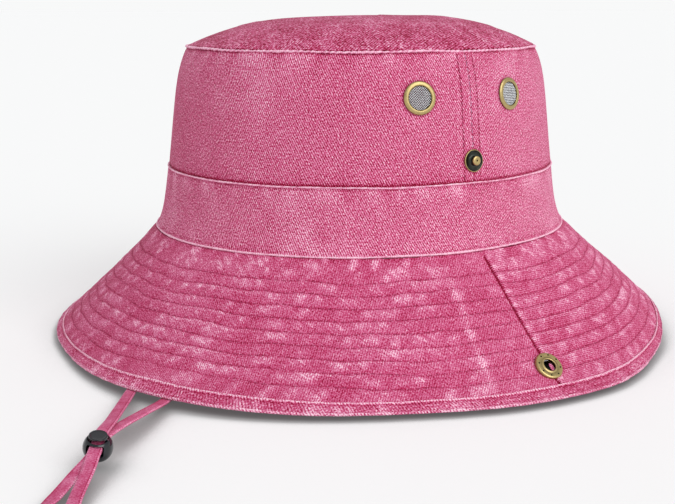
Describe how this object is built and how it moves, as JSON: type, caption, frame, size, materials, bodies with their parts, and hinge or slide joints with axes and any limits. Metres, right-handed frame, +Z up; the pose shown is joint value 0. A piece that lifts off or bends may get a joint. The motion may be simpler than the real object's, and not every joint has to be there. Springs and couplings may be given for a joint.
{
  "type": "bucket hat",
  "caption": "Soft cotton twill bucket hat with a sloping row-stitched brim, screened side eyelets, snap-up brim sides and a chin strap with a sliding cord lock.",
  "frame": {"origin": "middle of the base: the middle of the hat's width and depth, at the height of the surface it stands on", "axes": "+Z up; +Y towards the back of the hat, -Y its front; +X on the right of someone facing the front"},
  "size_m": [0.3245, 0.3763, 0.1442],
  "materials": {
    "crown_twill": "washed pink cotton twill with pale abraded seams",
    "brim_twill": "washed pink cotton twill, row stitched and puckered",
    "strap_cloth": "folded cotton twill, deeper pink with pale edges",
    "lining_cloth": "plain cotton tape",
    "interlining": "stiff woven interlining",
    "antique_brass": "antiqued, satin",
    "gunmetal": "dark plated, satin",
    "steel_mesh": "woven wire",
    "spring_steel": "bright wire",
    "lock_plastic": "glossy blue-black"
  },
  "bodies": {
    "hat": {"brim_binding_front": "brim_twill", "brim_binding_back": "brim_twill", "brim_interlining_centre": "interlining", "brim_top_cloth_front": "brim_twill", "brim_top_cloth_back": "brim_twill", "brim_under_cloth_front": "brim_twill", "brim_under_cloth_back": "brim_twill", "chin_strap": "strap_cloth", "crown_tip": "crown_twill", "crown_front_panel": "crown_twill", "crown_back_panel": "crown_twill", "eyelet_left_front": "antique_brass", "eyelet_screen_left_front": "steel_mesh", "eyelet_washer_left_front": "antique_brass", "eyelet_left_back": "antique_brass", "eyelet_screen_left_back": "steel_mesh", "eyelet_washer_left_back": "antique_brass", "eyelet_right_front": "antique_brass", "eyelet_screen_right_front": "steel_mesh", "eyelet_washer_right_front": "antique_brass", "eyelet_right_back": "antique_brass", "eyelet_screen_right_back": "steel_mesh", "eyelet_washer_right_back": "antique_brass", "hatband": "crown_twill", "sweatband": "lining_cloth", "rim_seam_tape": "lining_cloth", "side_seam_tape_left": "lining_cloth", "snap_post_left": "antique_brass", "snap_stud_left": "gunmetal", "side_seam_tape_right": "lining_cloth", "snap_post_right": "antique_brass", "snap_stud_right": "gunmetal"},
    "right_brim_side": {"brim_top_cloth_right_front": "brim_twill", "brim_top_cloth_right_back": "brim_twill", "brim_interlining_right": "interlining", "brim_under_cloth_right_front": "brim_twill", "brim_under_cloth_right_back": "brim_twill", "brim_binding_right": "brim_twill", "snap_socket_right": "antique_brass", "snap_socket_cap_right": "antique_brass", "snap_spring_right": "spring_steel"},
    "left_brim_side": {"brim_top_cloth_left_front": "brim_twill", "brim_top_cloth_left_back": "brim_twill", "brim_interlining_left": "interlining", "brim_under_cloth_left_front": "brim_twill", "brim_under_cloth_left_back": "brim_twill", "brim_binding_left": "brim_twill", "snap_socket_left": "antique_brass", "snap_socket_cap_left": "antique_brass", "snap_spring_left": "spring_steel"},
    "cord_lock": {"cord_lock_body": "lock_plastic", "cord_lock_spring": "spring_steel"},
    "lock_button": {"cord_lock_button": "lock_plastic"}
  },
  "joints": [
    {"name": "right_brim_fold", "type": "hinge", "parent": "hat", "child": "right_brim_side", "pos_m": [0.10054, 0, 0.03988], "axis": [0, -1, 0], "range_deg": [0, 146.41]},
    {"name": "left_brim_fold", "type": "hinge", "parent": "hat", "child": "left_brim_side", "pos_m": [-0.10054, 0, 0.03988], "axis": [0, 1, 0], "range_deg": [0, 146.41]},
    {"name": "cord_lock_slide", "type": "slide", "parent": "hat", "child": "cord_lock", "axis": [-0.7771, 0.5941, 0.2079], "range_m": [0, 0.004]},
    {"name": "lock_button_press", "type": "slide", "parent": "cord_lock", "child": "lock_button", "axis": [-0.238, 0.0285, -0.9709], "range_m": [0, 0.0018], "stiffness_N_per_m": 120, "springref_m": -0.002, "deforming": ["cord_lock_spring"]}
  ]
}
